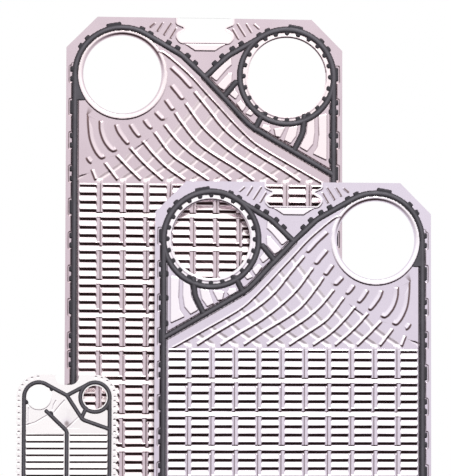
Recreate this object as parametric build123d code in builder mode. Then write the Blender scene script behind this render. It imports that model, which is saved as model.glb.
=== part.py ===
"""Three gasketed plates of a plate heat exchanger: two large plates turned 180 degrees to each
other and one small plate, each a single pressed sheet with a one-piece moulded gasket.

Frame: millimetres, +Z up, the plates hang upright and face -Y. The origin is the middle of the
rear plate's top edge, between the two lobes of its hanger notch, on the crest plane of its
pressing. Every plate is drawn about its own centre, x to the right and y up as seen from the front.
"""

import os
from math import cos, radians, sin

from build123d import *

# ---- Large plate, driving dimensions --------------------------------------------------------
PLATE_W = 500.0
PLATE_L = 1200.0
CORNER_CHAMFER = 56.0
SHEET_T = 0.8
PORT_R = 71.0
PORT_U = 149.0
PORT_V = 104.0  # below the top edge
PRESS_DEPTH = 4.0  # crest to groove floor
MID_LEVEL = -PRESS_DEPTH / 2  # the flat sheet lies half-way

FIELD_W = 444.0
FIELD_TOP = 300.0  # below the top edge
ROW_PITCH = 15.0
ROW_BAR = 6.6
ROWS = round((PLATE_L - 2 * FIELD_TOP) / ROW_PITCH)

BEAD_INNER_R = 73.5
BEAD_OUTER_R = 78.2
TILE = 14.0
TILE_PITCH = 23.0
TILE_ANGLE = 45.0

NOTCH = [(0, 43.5), (43, 43.5), (49, 37), (49, 30), (36, 22), (36, 16), (50, 10), (50, 0)]
NOTCH_RADII = [6, 5, 6, 3, 3, 3]

# ---- Large gasket ---------------------------------------------------------------------------
BAND_W = 10.0
RUN_U = 234.0
SEAL_R = 85.0
JUNCTION_V = 107.0
SHOULDER = (42.0, 67.6)
SHOULDER_ANGLE = 120.0
DIAGONAL_KNEE = (82.9, 194.4)
DIAGONAL_END_V = 281.6
TEETH = 24
TOOTH_W = 6.8
TOOTH_TIP_R = 75.0
LINK_W = 8.8
TAB_REACH = 4.5
TAB_PITCH = 59.0
LONG_TAB = 26.0
NUB = 9.0
NUB_SPACING = 17.0
GASKET_PROUD = 1.2

# ---- Small plate ----------------------------------------------------------------------------
SMALL_W = 180.0
SMALL_L = 480.0
SMALL_CORNER_R = 40.0
SMALL_T = 0.6
SMALL_PORT_R = 21.0
SMALL_PORT_U = 50.0
SMALL_PORT_V = 40.0
SMALL_DEPTH = 2.4
SMALL_MID = -SMALL_DEPTH / 2
SMALL_FIELD_TOP = 107.0
SMALL_PITCH = 12.0
SMALL_BAR = 5.2
SMALL_BAR_GAP = 5.0  # bar ends to gasket band, both ends together
SCALLOP_PITCH = 11.0
SCALLOP_R = 2.6
DIP_W = 42.0
DIP_H = 18.0

SMALL_BAND_W = 6.8
SMALL_RUN_U = 77.5
SMALL_SEAL_R = 27.5
SMALL_RING_R = 27.0
SMALL_SHOULDER_ANGLE = 125.0
SMALL_JUNCTION_V = 37.0
SMALL_PROUD = 1.0
DIVIDER_TOP_V = 100.0
DIVIDER_KNOB = (-36.0, 68.0)
KNOB_SCALE = 0.75  # knob radius over band width

# ---- Clearances and places ------------------------------------------------------------------
SEAT_GAP = 0.5  # gasket flank to groove wall
FLOOR_GAP = 0.3  # gasket underside to groove floor
FRONT_CENTRE_U = 160.0
FRONT_TOP = -296.0
FRONT_FACE_Y = -14.0
SMALL_CENTRE_U = -246.0
SMALL_TOP = -644.0
SMALL_FACE_Y = -12.0


def plate_plane(centre_u, top, face_y, length, turned=False):
    """The drawing plane of a plate: its crest plane, facing -Y, with the origin at its centre."""
    across = -1 if turned else 1
    return Plane(origin=(centre_u, face_y, top - length / 2), x_dir=(across, 0, 0), z_dir=(0, -1, 0))


def large(u, depth):
    """A point of the large plate, from its distance right of centre and below the top edge."""
    return (u, PLATE_L / 2 - depth)


def small(u, depth):
    """The same for the small plate."""
    return (u, SMALL_L / 2 - depth)


def stroke(points, width, radius=0.0):
    """A band of constant width along a polyline with rounded corners."""
    with BuildSketch() as band:
        with BuildLine():
            if radius:
                FilletPolyline(*points, radius=radius)
            else:
                Polyline(*points)
        trace(line_width=width)
    return band.sketch


def both_ends(*drawings):
    """Drawings of the upper end, with their mirror image at the lower end."""
    with BuildSketch() as ends:
        for drawing in drawings:
            add(drawing)
        mirror(about=Plane.XZ)
    return ends.sketch


def both_sides(*drawings):
    """Drawings of the right-hand side, with their mirror image on the left."""
    with BuildSketch() as sides:
        for drawing in drawings:
            add(drawing)
        mirror(about=Plane.YZ)
    return sides.sketch


# ---- Large plate: plan shapes ---------------------------------------------------------------
def large_outline():
    """The sheet's edge: chamfered corners, a hanger notch at each end, four ports."""
    corner = [large(PLATE_W / 2 - CORNER_CHAMFER, 0), large(PLATE_W / 2, CORNER_CHAMFER)]
    with BuildSketch() as outline:
        with BuildLine():
            FilletPolyline(*[large(u, v) for u, v in NOTCH], radius=NOTCH_RADII)
            Polyline(large(*NOTCH[-1]), *corner, (PLATE_W / 2, 0))
            mirror(about=Plane.YZ)
            mirror(about=Plane.XZ)
        make_face()
        with Locations(*[(x * PORT_U, y * (PLATE_L / 2 - PORT_V)) for x in (-1, 1) for y in (-1, 1)]):
            Circle(PORT_R, mode=Mode.SUBTRACT)
    return outline.sketch


def past_port(port, radius, angle):
    """Where a seal leaves its arc over a port: u and the depth below the top edge."""
    return (port[0] + radius * cos(radians(angle)), port[1] - radius * sin(radians(angle)))


def seal_path(width):
    """One half of the outer loop: up the long run, over the port and down to the junction."""
    start = large(*past_port((PORT_U, PORT_V), SEAL_R, SHOULDER_ANGLE))
    with BuildSketch() as path:
        with BuildLine():
            Line((RUN_U, 0), large(RUN_U, PORT_V))
            CenterArc(large(PORT_U, PORT_V), SEAL_R, 0, SHOULDER_ANGLE)
            FilletPolyline(start, large(*SHOULDER), large(0, JUNCTION_V), radius=60)
        trace(line_width=width)
    return path.sketch


def ring_seal(grow):
    """The closed seal round one port with teeth on its inside."""
    tooth_root = SEAL_R - BAND_W / 2 + 1
    tooth_l = tooth_root - TOOTH_TIP_R
    with BuildSketch() as ring:
        with Locations(large(PORT_U, PORT_V)):
            Circle(SEAL_R + BAND_W / 2 + grow)
            Circle(SEAL_R - BAND_W / 2 - grow, mode=Mode.SUBTRACT)
            with PolarLocations((tooth_root + TOOTH_TIP_R) / 2, TEETH):
                Rectangle(tooth_l + 2 * grow, TOOTH_W + 2 * grow)
    return ring.sketch


def links(grow):
    """Three short webs that tie the port ring to the diagonal seal."""
    width = LINK_W + 2 * grow
    with BuildSketch() as webs:
        add(stroke([large(56, 116), large(36, 140)], width))
        add(stroke([large(104, 174), large(91, 200)], width))
        add(stroke([large(181, 179), large(178, 206), large(163, 236)], width, radius=40))
    return webs.sketch


def tabs(grow):
    """Edge tabs outside the long run: nub pairs and long tabs in turn."""
    reach = RUN_U + BAND_W / 2 + TAB_REACH / 2
    count = 1 + int((PLATE_L / 2 - PORT_V) / TAB_PITCH)
    with BuildSketch() as row:
        for k in range(count):
            middle = PLATE_L / 2 - PORT_V - k * TAB_PITCH
            if k % 2:
                with Locations((reach - 1, middle)):
                    Rectangle(TAB_REACH + 2 + 2 * grow, LONG_TAB + 2 * grow)
            else:
                with Locations((reach - 1, middle - NUB_SPACING / 2), (reach - 1, middle + NUB_SPACING / 2)):
                    Rectangle(TAB_REACH + 2 + 2 * grow, NUB + 2 * grow)
    return row.sketch


def large_gasket_plan(grow=0.0):
    """The whole one-piece gasket seen from the front, each edge moved outwards by grow."""
    width = BAND_W + 2 * grow
    diagonal = [large(0, JUNCTION_V), large(*DIAGONAL_KNEE), large(RUN_U, DIAGONAL_END_V)]
    outer = both_sides(seal_path(width), tabs(grow))
    upper_right = [stroke(diagonal, width, radius=100), ring_seal(grow), links(grow)]
    return both_ends(outer, *upper_right)


def inside(point, corners):
    """Whether a point lies inside a polygon."""
    x, y = point
    hit = False
    for (x1, y1), (x2, y2) in zip(corners, corners[1:] + corners[:1]):
        if (y1 > y) != (y2 > y) and x < (x2 - x1) * (y - y1) / (y2 - y1) + x1:
            hit = not hit
    return hit


def tiles(grow):
    """Square pads that spread the flow between the open port and the field."""
    region = [large(u, v) for u, v in
              [(-2, 138), (-55, 180), (-120, 224), (-192, 262), (-205, 284), (196, 284), (95, 226), (52, 180)]]
    steps = range(-20, 21)
    c, s = cos(radians(TILE_ANGLE)) * TILE_PITCH, sin(radians(TILE_ANGLE)) * TILE_PITCH
    middle = large(0, 220)
    grid = [(middle[0] + i * c - j * s, middle[1] + i * s + j * c) for i in steps for j in steps]
    with BuildSketch() as pads:
        with Locations(*[p for p in grid if inside(p, region)]):
            Rectangle(TILE + 2 * grow, TILE + 2 * grow, rotation=TILE_ANGLE)
    return pads.sketch


def hanger_ribs(grow):
    """Slanted stiffening ribs beside the hanger notch."""
    ribs = [((62, 36), (53, 20)), ((75, 32), (63, 11)), ((87, 25), (78, 10)), ((100, 17), (95, 9))]
    return both_sides(*[stroke([large(*a), large(*b)], 4.0 + 2 * grow) for a, b in ribs])


def large_raised(grow=0.0):
    """Everything pressed forward: port bead, spreading pads, hanger ribs, washboard crests."""
    with BuildSketch() as bead:
        with Locations(large(-PORT_U, PORT_V)):
            Circle(BEAD_OUTER_R + grow)
            Circle(BEAD_INNER_R - grow, mode=Mode.SUBTRACT)
    with BuildSketch() as raised:
        add(both_ends(bead.sketch, tiles(grow), hanger_ribs(grow)))
        with GridLocations(0, ROW_PITCH, 1, ROWS):
            Rectangle(FIELD_W + 2 * grow, ROW_BAR + 2 * grow)
    return raised.sketch


def large_sunk(grow=0.0):
    """Washboard valleys, pressed back half-way between the crests."""
    with BuildSketch() as sunk:
        with GridLocations(0, ROW_PITCH, 1, ROWS - 1):
            Rectangle(FIELD_W + 2 * grow, ROW_BAR + 2 * grow)
    return sunk.sketch


# ---- Small plate: plan shapes ---------------------------------------------------------------
def small_outline():
    """Rounded corners, scalloped long edges, a shallow dip at each end, four ports."""
    scallops = int((SMALL_L - 2 * SMALL_CORNER_R) / SCALLOP_PITCH)
    with BuildSketch() as outline:
        RectangleRounded(SMALL_W, SMALL_L, SMALL_CORNER_R)
        with GridLocations(SMALL_W, SCALLOP_PITCH, 2, scallops):
            Circle(SCALLOP_R, mode=Mode.SUBTRACT)
        with GridLocations(0, SMALL_L, 1, 2):
            SlotOverall(DIP_W, 2 * DIP_H, rotation=0, mode=Mode.SUBTRACT)
        with GridLocations(2 * SMALL_PORT_U, SMALL_L - 2 * SMALL_PORT_V, 2, 2):
            Circle(SMALL_PORT_R, mode=Mode.SUBTRACT)
    return outline.sketch


def small_seal_path(width):
    """One half of the small gasket's outer loop."""
    start = small(*past_port((SMALL_PORT_U, SMALL_PORT_V), SMALL_SEAL_R, SMALL_SHOULDER_ANGLE))
    with BuildSketch() as path:
        with BuildLine():
            Line((SMALL_RUN_U, 0), small(SMALL_RUN_U, SMALL_PORT_V))
            CenterArc(small(SMALL_PORT_U, SMALL_PORT_V), SMALL_SEAL_R, 0, SMALL_SHOULDER_ANGLE)
            Line(start, small(0, SMALL_JUNCTION_V))
        trace(line_width=width)
    return path.sketch


def small_gasket_plan(grow=0.0):
    """The small one-piece gasket, with a divider strip that runs up the middle of the field."""
    width = SMALL_BAND_W + 2 * grow
    diagonal = [small(0, SMALL_JUNCTION_V), small(28, 80), small(SMALL_RUN_U, 97)]
    with BuildSketch() as ring:
        with Locations(small(SMALL_PORT_U, SMALL_PORT_V)):
            Circle(SMALL_RING_R + width / 2)
            Circle(SMALL_RING_R - width / 2, mode=Mode.SUBTRACT)
    link = stroke([small(34, 60), small(24, 73)], width)
    lower_junction = small(0, SMALL_L - SMALL_JUNCTION_V)
    divider = [lower_junction, small(0, DIVIDER_TOP_V), small(*DIVIDER_KNOB)]
    with BuildSketch() as plan:
        add(both_ends(both_sides(small_seal_path(width)), stroke(diagonal, width, radius=14), ring.sketch, link))
        add(stroke(divider, width, radius=12))
        with Locations(small(*DIVIDER_KNOB)):
            Circle(KNOB_SCALE * width)
    return plan.sketch


def small_bars(rows, grow):
    """One set of washboard bars, each split by the divider strip."""
    length = SMALL_RUN_U - SMALL_BAND_W - SMALL_BAR_GAP
    with BuildSketch() as bars:
        with GridLocations(SMALL_RUN_U, SMALL_PITCH, 2, rows):
            Rectangle(length + 2 * grow, SMALL_BAR + 2 * grow)
    return bars.sketch


def small_raised(grow=0.0):
    """Crests of the small washboard."""
    rows = round((SMALL_L - 2 * SMALL_FIELD_TOP) / SMALL_PITCH)
    return small_bars(rows, grow)


def small_sunk(grow=0.0):
    """Valleys between those crests."""
    rows = round((SMALL_L - 2 * SMALL_FIELD_TOP) / SMALL_PITCH) - 1
    return small_bars(rows, grow)


# ---- Pressing and moulding ------------------------------------------------------------------
def press_plate(outline, groove, raised, sunk, thickness, mid, depth):
    """A sheet of one thickness with cups pressed forward, cups pressed back and a gasket groove.

    groove, raised and sunk are functions of grow. The groove follows the gasket's own plan, wider by
    the seat gap, and every wall stands inside its pressing's outline. The sheet is drawn as five
    layers, from the groove floor at the back to the crests at the front.
    """
    seat = SEAT_GAP + thickness
    with BuildSketch() as floor:
        add(groove(seat))
        add(sunk())
    with BuildSketch() as back_walls:
        add(groove(seat))
        add(groove(SEAT_GAP), mode=Mode.SUBTRACT)
        add(sunk())
        add(sunk(-thickness), mode=Mode.SUBTRACT)
    with BuildSketch() as sheet:
        add(outline)
        add(groove(SEAT_GAP), mode=Mode.SUBTRACT)
        add(raised(-thickness), mode=Mode.SUBTRACT)
        add(sunk(-thickness), mode=Mode.SUBTRACT)
    with BuildSketch() as front_walls:
        add(raised())
        add(raised(-thickness), mode=Mode.SUBTRACT)
    layers = [
        (floor.sketch, -depth - thickness, thickness),
        (back_walls.sketch, -depth, depth + mid - thickness),
        (sheet.sketch, mid - thickness, thickness),
        (front_walls.sketch, mid, -mid - thickness),
        (raised(), -thickness, thickness),
    ]
    with BuildPart() as plate:
        for drawing, level, height in layers:
            with BuildSketch(Plane.XY.offset(level)):
                add(drawing)
            extrude(amount=height)
    return plate.part


def mould_gasket(plan, depth, proud):
    """A flat moulded gasket that stands proud of the crest plane."""
    with BuildPart() as gasket:
        with BuildSketch(Plane.XY.offset(FLOOR_GAP - depth)):
            add(plan)
        extrude(amount=depth - FLOOR_GAP + proud)
    return gasket.part


def hang(label, piece, place):
    """Puts a piece in its place and writes it under its name."""
    with BuildPart() as hung:
        with Locations(place.location):
            add(piece)
    hung.part.label = label
    export_step(hung.part, f"parts/{label}.step")


os.makedirs("parts", exist_ok=True)

large_plate = press_plate(large_outline(), large_gasket_plan, large_raised, large_sunk,
                          SHEET_T, MID_LEVEL, PRESS_DEPTH)
large_gasket = mould_gasket(large_gasket_plan(), PRESS_DEPTH, GASKET_PROUD)
small_plate = press_plate(small_outline(), small_gasket_plan, small_raised, small_sunk,
                          SMALL_T, SMALL_MID, SMALL_DEPTH)
small_gasket = mould_gasket(small_gasket_plan(), SMALL_DEPTH, SMALL_PROUD)

rear_place = plate_plane(0, 0, 0, PLATE_L)
front_place = plate_plane(FRONT_CENTRE_U, FRONT_TOP, FRONT_FACE_Y, PLATE_L, turned=True)
small_place = plate_plane(SMALL_CENTRE_U, SMALL_TOP, SMALL_FACE_Y, SMALL_L)

hang("rear_plate", large_plate, rear_place)
hang("rear_gasket", large_gasket, rear_place)
hang("front_plate", large_plate, front_place)
hang("front_gasket", large_gasket, front_place)
hang("small_plate", small_plate, small_place)
hang("small_gasket", small_gasket, small_place)
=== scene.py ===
"""Visual model of three gasketed heat exchanger plates.

Each plate is one pressed sheet and each gasket one moulding. The shape of a pressing is a height
over its plan, sampled on a grid, cut to the sheet's outline and thinned where it is flat.
"""

import bpy
import numpy as np

from mathutils import Euler, Matrix, Vector


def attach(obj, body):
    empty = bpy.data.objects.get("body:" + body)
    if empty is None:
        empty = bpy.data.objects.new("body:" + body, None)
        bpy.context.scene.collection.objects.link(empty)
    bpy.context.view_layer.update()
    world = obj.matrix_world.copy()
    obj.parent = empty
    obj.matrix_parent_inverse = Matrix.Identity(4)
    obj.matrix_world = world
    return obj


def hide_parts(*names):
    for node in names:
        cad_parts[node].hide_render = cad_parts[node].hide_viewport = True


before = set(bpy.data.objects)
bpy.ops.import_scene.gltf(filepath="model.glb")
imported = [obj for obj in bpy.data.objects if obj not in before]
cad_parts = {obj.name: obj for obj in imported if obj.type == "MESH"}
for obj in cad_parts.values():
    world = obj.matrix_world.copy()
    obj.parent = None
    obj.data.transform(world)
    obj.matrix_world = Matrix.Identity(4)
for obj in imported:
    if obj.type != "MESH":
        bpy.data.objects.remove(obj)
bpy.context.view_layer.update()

# ---- Plan geometry, in millimetres ----
# x is to the right of a plate's centre line and d is the depth below its top edge. The large plate
# is drawn as the front one hangs, with the closed port ring on the left. Heights are in front of the
# pressing's crest plane, so they are 0 or less on the sheet. The lower end mirrors the upper one.

WIDE = 500.0
LONG = 1200.0
CHAMFER = 56.0
PORT_R = 70.5
PORT_X = 149.0
PORT_D = 104.0
SHEET = 0.8
CREST = -0.15
MID = -2.0
FLOOR = -4.0

BAND = 4.3  # half the gasket's width
LINK_BAND = 4.4  # half a link's width
RUN_X = 234.0
SEAL_R = 85.0
RING_R = 85.6
JUNCTION = (0.0, 107.0)
SHOULDER = (42.0, 67.6)
SHOULDER_END = (106.5, 30.4)
SHOULDER_ANGLE = 120.0
KNEE = (-82.9, 194.4)
DIAGONAL_END = (-234.0, 281.6)
GASKET_BACK = -3.7
GASKET_TOP = 1.15

BOARD_LOW = -3.7
ROW = 15.0
COLUMN = 42.0
RIB_LINE = 1.4  # from a column rib's middle to the line along it
FIELD_D = 300.0
FIELD_X = 226.0  # half the washboard's width
FLAT_TONE = 0.35  # painted light level of the flat sheet: 0 is the darkest painted shade and 1 the lightest painted highlight


def ramp(x, a, b):
    """Nearly straight step from 0 at a to 1 at b, with eased ends."""
    t = np.clip((x - a) / (b - a), 0.0, 1.0)
    return 0.6 * t + 0.4 * t * t * (3.0 - 2.0 * t)


def rounded(points, radii):
    """A polyline whose inner corners become arcs, as a list of points."""
    if np.isscalar(radii):
        radii = [radii] * (len(points) - 2)
    points = [np.array(p, float) for p in points]
    out = [points[0]]
    for before, corner, after, radius in zip(points, points[1:], points[2:], radii):
        a, b = before - corner, after - corner
        a_len, b_len = np.linalg.norm(a), np.linalg.norm(b)
        a, b = a / a_len, b / b_len
        half = 0.5 * np.arccos(np.clip(a @ b, -1, 1))
        cut = min(radius / np.tan(half), 0.49 * a_len, 0.49 * b_len)
        for t in np.linspace(0, 1, 7):
            out.append((1 - t) ** 2 * (corner + a * cut) + 2 * t * (1 - t) * corner
                       + t * t * (corner + b * cut))
    out.append(points[-1])
    return np.array(out)


def along(x, d, path):
    """(distance, signed distance) of the nearest point of a path. As seen from the front, the signed one is
    positive on the right of the path's direction."""
    path = np.asarray(path, float)
    best = np.full(x.shape, 1e9)
    side = np.zeros(x.shape)
    for (x0, d0), (x1, d1) in zip(path, path[1:]):
        ex, ed = x1 - x0, d1 - d0
        span = np.hypot(ex, ed)
        t = ((x - x0) * ex + (d - d0) * ed) / (span * span)
        tc = np.clip(t, 0, 1)
        dist = np.hypot(x - x0 - tc * ex, d - d0 - tc * ed)
        closer = dist < best
        cross = (ex * (d - d0) - ed * (x - x0)) / span
        best = np.where(closer, dist, best)
        side = np.where(closer, np.where(cross >= 0, dist, -dist), side)
    return best, side


def distance(x, d, path):
    return along(x, d, path)[0]


def inside_distance(x, d, corners):
    """Signed distance to a closed outline, negative inside."""
    corners = np.asarray(corners, float)
    best = np.full(x.shape, 1e9)
    hit = np.zeros(x.shape, bool)
    for (x0, d0), (x1, d1) in zip(corners, np.roll(corners, -1, axis=0)):
        ex, ed = x1 - x0, d1 - d0
        span2 = ex * ex + ed * ed
        if span2 < 1e-12:
            continue
        t = np.clip(((x - x0) * ex + (d - d0) * ed) / span2, 0, 1)
        best = np.minimum(best, np.hypot(x - x0 - t * ex, d - d0 - t * ed))
        crosses = (d0 > d) != (d1 > d)
        with np.errstate(divide="ignore", invalid="ignore"):
            hit ^= crosses & (x < ex * (d - d0) / (ed if ed else 1e-12) + x0)
    return np.where(hit, -best, best)


def box_distance(x, d, cx, cd, hx, hd, r=0.0):
    """Signed distance to a rectangle with rounded corners."""
    ax, ad = np.abs(x - cx) - hx + r, np.abs(d - cd) - hd + r
    return np.hypot(np.maximum(ax, 0), np.maximum(ad, 0)) + np.minimum(np.maximum(ax, ad), 0) - r


# ---- Large plate ----
NOTCH = rounded([(0, 43.5), (43, 43.5), (49, 37), (49, 30), (36, 22), (36, 16), (50, 10), (50, 0), (50, -9)],
                [6, 5, 6, 3, 3, 3, 1])
SHOULDER_PATH = rounded([JUNCTION, SHOULDER, SHOULDER_END], 60)
DIAGONAL = rounded([JUNCTION, KNEE, DIAGONAL_END], 100)
LINKS = [
    np.array([(-56, 116), (-36, 140)]),
    np.array([(-104, 174), (-91, 200)]),
    rounded([(-181, 176), (-178, 206), (-163, 236)], 40),
]


def large_edge(x, d):
    """Signed distance to the sheet's outline, negative on the sheet."""
    ax = np.abs(x)
    rim = np.maximum(np.maximum(ax - WIDE / 2, -d), (ax - d - (WIDE / 2 - CHAMFER)) / np.sqrt(2))
    notch = np.concatenate([NOTCH, [(-9, -9)]])
    notch = inside_distance(ax, d, notch)
    ports = PORT_R - np.hypot(ax - PORT_X, d - PORT_D)
    return np.maximum(np.maximum(rim, -notch), ports)


def loop_distance(x, d):
    """Distance to the centre line of the gasket's outer loop."""
    ax = np.abs(x)
    px, pd = ax - PORT_X, PORT_D - d
    angle = np.degrees(np.arctan2(pd, px))
    over_port = np.where((angle > -1) & (angle < SHOULDER_ANGLE), np.abs(np.hypot(px, pd) - SEAL_R), 1e9)
    run = np.where(d > PORT_D, np.abs(ax - RUN_X), 1e9)
    return np.minimum(np.minimum(over_port, run), distance(ax, d, SHOULDER_PATH))


def ring_distance(x, d):
    return np.abs(np.hypot(x + PORT_X, d - PORT_D) - RING_R)


def seal_distance(x, d):
    """Distance to the centre line of every full-width band."""
    return np.minimum(np.minimum(loop_distance(x, d), ring_distance(x, d)), distance(x, d, DIAGONAL))


def link_distance(x, d):
    return np.minimum.reduce([distance(x, d, link) for link in LINKS])


TAB_STEP = 59.9
TABS = 9
LONG_TABS_LEFT = (0, 3, 5, 8)
LEFT_TAB_D = 99.0
LONG_TAB = 11.5  # half length
NUB = 4.0  # half length
NUB_APART = 8.7  # from the middle of the pair
TAB_OUT = RUN_X + BAND + 1.0


def side_tabs(side):
    """Down one long run: (depth of the middle, whether it is one long tab and not a pair of nubs)."""
    for k in range(TABS):
        if side < 0:
            yield LEFT_TAB_D + k * TAB_STEP, k in LONG_TABS_LEFT
        else:
            yield PORT_D + k * TAB_STEP, k % 3 == 1


def tab_distance(x, d, wide=0.0, long=0.0):
    """Signed distance to the tabs outside the long runs."""
    out = np.full(x.shape, 1e9)
    for side in (-1, 1):
        for middle, whole in side_tabs(side):
            nubs = [(middle - NUB_APART, NUB), (middle + NUB_APART, NUB)]
            for spot, half in [(middle, LONG_TAB)] if whole else nubs:
                tab = box_distance(x, d, side * TAB_OUT, spot, 2.7 + wide, half + long, 1.8)
                out = np.minimum(out, tab)
    return out


def shoulder_tabs():
    """Nubs and one long tab round the top of each port and down the shoulder: (x, d, angle, half length)."""
    spots = [(PORT_X, PORT_D, a, 4.3) for a in (34, 46, 113, 124)] + [(PORT_X, PORT_D, 80, 12.5)]
    out = []
    for cx, cd, a, half in spots:
        r = SEAL_R + BAND + 1.0
        out.append((cx + r * np.cos(np.radians(a)), cd - r * np.sin(np.radians(a)), 90 - a, half))
    out += [(65.5, 45.2, -30, 4.3), (49.5, 54.6, -30, 4.3), (31.0, 68.5, -44, 4.3), (17.5, 81.5, -46, 4.3)]
    return out


def shoulder_tab_distance(x, d, grow=0.0):
    ax = np.abs(x)
    out = np.full(x.shape, 1e9)
    for cx, cd, turn, half in shoulder_tabs():
        c, s = np.cos(np.radians(turn)), np.sin(np.radians(turn))
        out = np.minimum(out, box_distance((ax - cx) * c + (d - cd) * s, (d - cd) * c - (ax - cx) * s,
                                           0, 0, half + grow, 3.1 + grow, 1.8))
    return out


def wall_distance(x, d):
    """Signed distance to the wall beside the long runs, which steps out round the tabs, and beside the
    diagonal."""
    wall = BAND + 2.1
    run = np.where(d > PORT_D - 20, np.abs(np.abs(x) - RUN_X), 99.0) - wall
    out = np.minimum(run, distance(x, d, DIAGONAL) - wall)
    for side in (-1, 1):
        for middle, _ in side_tabs(side):
            out = np.minimum(out, box_distance(x, d, side * TAB_OUT, middle, 5.6, 15.6, 3.0))
    ports = np.hypot(np.abs(x) - PORT_X, d - PORT_D)
    return np.where(ports < RING_R + 3.0, 9.0, out)


def teeth_distance(x, d, grow=0.0):
    """Signed distance to the round-nosed teeth inside the port ring."""
    px, pd = x + PORT_X, d - PORT_D
    r = np.hypot(px, pd)
    step = np.radians(15.0)
    a = np.arctan2(pd, px)
    a = a - step * np.round(a / step)
    return box_distance(r * np.cos(a), r * np.sin(a), 79.6, 0, 4.0 + grow, 3.5 + grow, 2.6)


def inner_nubs(x, d, grow=0.0):
    """Nubs on the inner side of the run beside the drained corner."""
    out = np.full(x.shape, 1e9)
    for spot in (167.0, 210.0, 256.0):
        out = np.minimum(out, box_distance(x, d, -(RUN_X - BAND - 0.6), spot, 2.8 + grow, 4.2 + grow, 1.8))
    return out


def port_web(x, d, grow=0.0):
    """The thick web where the loop leaves the open port and meets the long run."""
    px, pd = x - PORT_X, d - PORT_D
    wedge = np.maximum(SEAL_R - BAND - np.hypot(px, pd), RUN_X - BAND - 24 - x)
    wedge = np.maximum(np.maximum(wedge, x - RUN_X), np.maximum(PORT_D - d, d - 151.0))
    return wedge - grow


def gasket_edge(x, d):
    """Signed distance to the gasket's outline, negative on the gasket."""
    parts = [seal_distance(x, d) - BAND, link_distance(x, d) - LINK_BAND, tab_distance(x, d),
             shoulder_tab_distance(x, d), teeth_distance(x, d), inner_nubs(x, d), port_web(x, d)]
    return np.minimum.reduce(parts)


# Flow ridges: where each leaves the field, the points it passes and where it ends.
FLOW = [
    [(-218, 300), (-196, 288), (-150, 262), (-105, 236), (-84, 221), (-58, 196), (-30, 166), (0, 134),
     (30, 102), (70, 68), (84, 62)],
    [(-173, 295), (-137, 272), (-98, 249), (-59, 223), (-31, 198), (-7, 168), (20, 135)],
    [(-131, 295), (-94, 272), (-59, 251), (-24, 225), (7.5, 195), (36, 156)],
    [(-89, 295), (-52, 270), (-17, 249), (14.5, 226), (43, 191), (55, 173)],
    [(-47, 295), (-11, 270), (24, 247), (52, 222), (74, 195)],
    [(-7, 295), (31, 270), (63, 247), (92, 209)],
    [(36, 295), (68, 273), (92, 250), (113, 225)],
    [(76, 295), (102, 273), (120, 255), (136, 237)],
    [(116, 295), (138, 274), (160, 251)],
    [(158, 295), (168, 282), (181, 265)],
    [(197, 295), (204, 277)],
]
# Cross channels: the way one runs up and left from the top of a column rib.
CROSS = [(0, 1), (-5, -4.5), (-29, -20), (-47, -34), (-62, -50), (-78, -66.5), (-93, -84.5), (-107, -101),
         (-121, -117.5), (-135, -135), (-149, -153), (-163, -171)]
# Fingers between the open port and the ends of the flow ridges.
FINGERS = [
    [(62, 92), (44, 109), (29, 125), (24, 126)],
    [(62, 124.5), (51, 138), (43, 147), (38, 146)],
    [(72.5, 151), (66, 160), (60, 167), (55, 165)],
    [(90, 173.5), (83, 181), (78, 185), (73, 184)],
    [(111, 187.5), (105, 196), (99, 201), (95, 200)],
    [(136, 196), (129, 207), (121, 216), (116, 215)],
    [(162, 196), (158, 207), (150, 219), (141, 229), (136, 228)],
    [(190, 189), (189, 206), (183, 224), (174, 237), (166, 243), (159, 241)],
    [(211, 175), (210, 200), (207, 222), (200, 240), (192, 252), (186, 256), (180, 254)],
    [(213, 256), (209, 262), (205, 265)],
]
# Stiffening ribs beside the hanger notch, and their mirror images.
NOTCH_RIBS = [[(51.6, 20), (61, 36)], [(60, 10), (73, 30.5)], [(76, 10), (85, 24)], [(90.5, 10.6), (98, 17)]]
# Raised pads in the drained corner between the port ring and the diagonal.
PADS = [
    [(-49, 84), (-40, 92), (-21, 114.5), (-10, 106), (-33, 76), (-47, 63)],
    [(-49.5, 98), (-42, 99), (-20, 123), (-35, 131), (-49, 115)],
    [(-62, 137), (-51, 124), (-43, 137), (-56, 147)],
    [(-76, 158), (-65, 148), (-56, 153), (-68, 170)],
    [(-84, 177), (-92, 168), (-80, 164), (-72, 172)],
    [(-121, 200), (-117, 193), (-105, 192), (-101, 201), (-113, 210)],
    [(-148, 194), (-125, 199), (-128, 213), (-137, 215)],
    [(-170, 191), (-153, 195), (-144, 220), (-156, 226), (-166, 212)],
    [(-199, 172), (-187, 178), (-184, 208), (-172, 232), (-186, 240), (-197, 226), (-200, 205)],
    [(-222, 170), (-206, 174), (-207, 210), (-204, 232), (-196, 244), (-222, 256)],
]


def smooth_path(points, steps=6):
    """A path through every point with rounded turns (Catmull-Rom)."""
    p = np.array(points, float)
    p = np.concatenate([[2 * p[0] - p[1]], p, [2 * p[-1] - p[-2]]])
    out = []
    for a, b, c, e in zip(p, p[1:], p[2:], p[3:]):
        for t in np.arange(steps) / steps:
            square, cube = 2 * a - 5 * b + 4 * c - e, 3 * b - a - 3 * c + e
            out.append(0.5 * (2 * b + (c - a) * t + square * t * t + cube * t ** 3))
    out.append(p[-2])
    return np.array(out)


# The spreading zone, where the cross channels run.
SPREAD = smooth_path([(-226, 299), (-212, 294), (-150, 261), (-105, 235), (-58, 195), (-30, 165), (0, 133),
                      (12, 126), (19, 137), (35, 158), (54, 176), (73, 198), (112, 228), (158, 255),
                      (203, 281), (226, 288), (226, 299)], 3)


def cross_paths():
    """The cross channels' steep sides, each from the top of a column rib."""
    return [smooth_path([(COLUMN * (k + 0.5) + dx, 298 + dd) for dx, dd in CROSS], 3) for k in range(-5, 8)]


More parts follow.
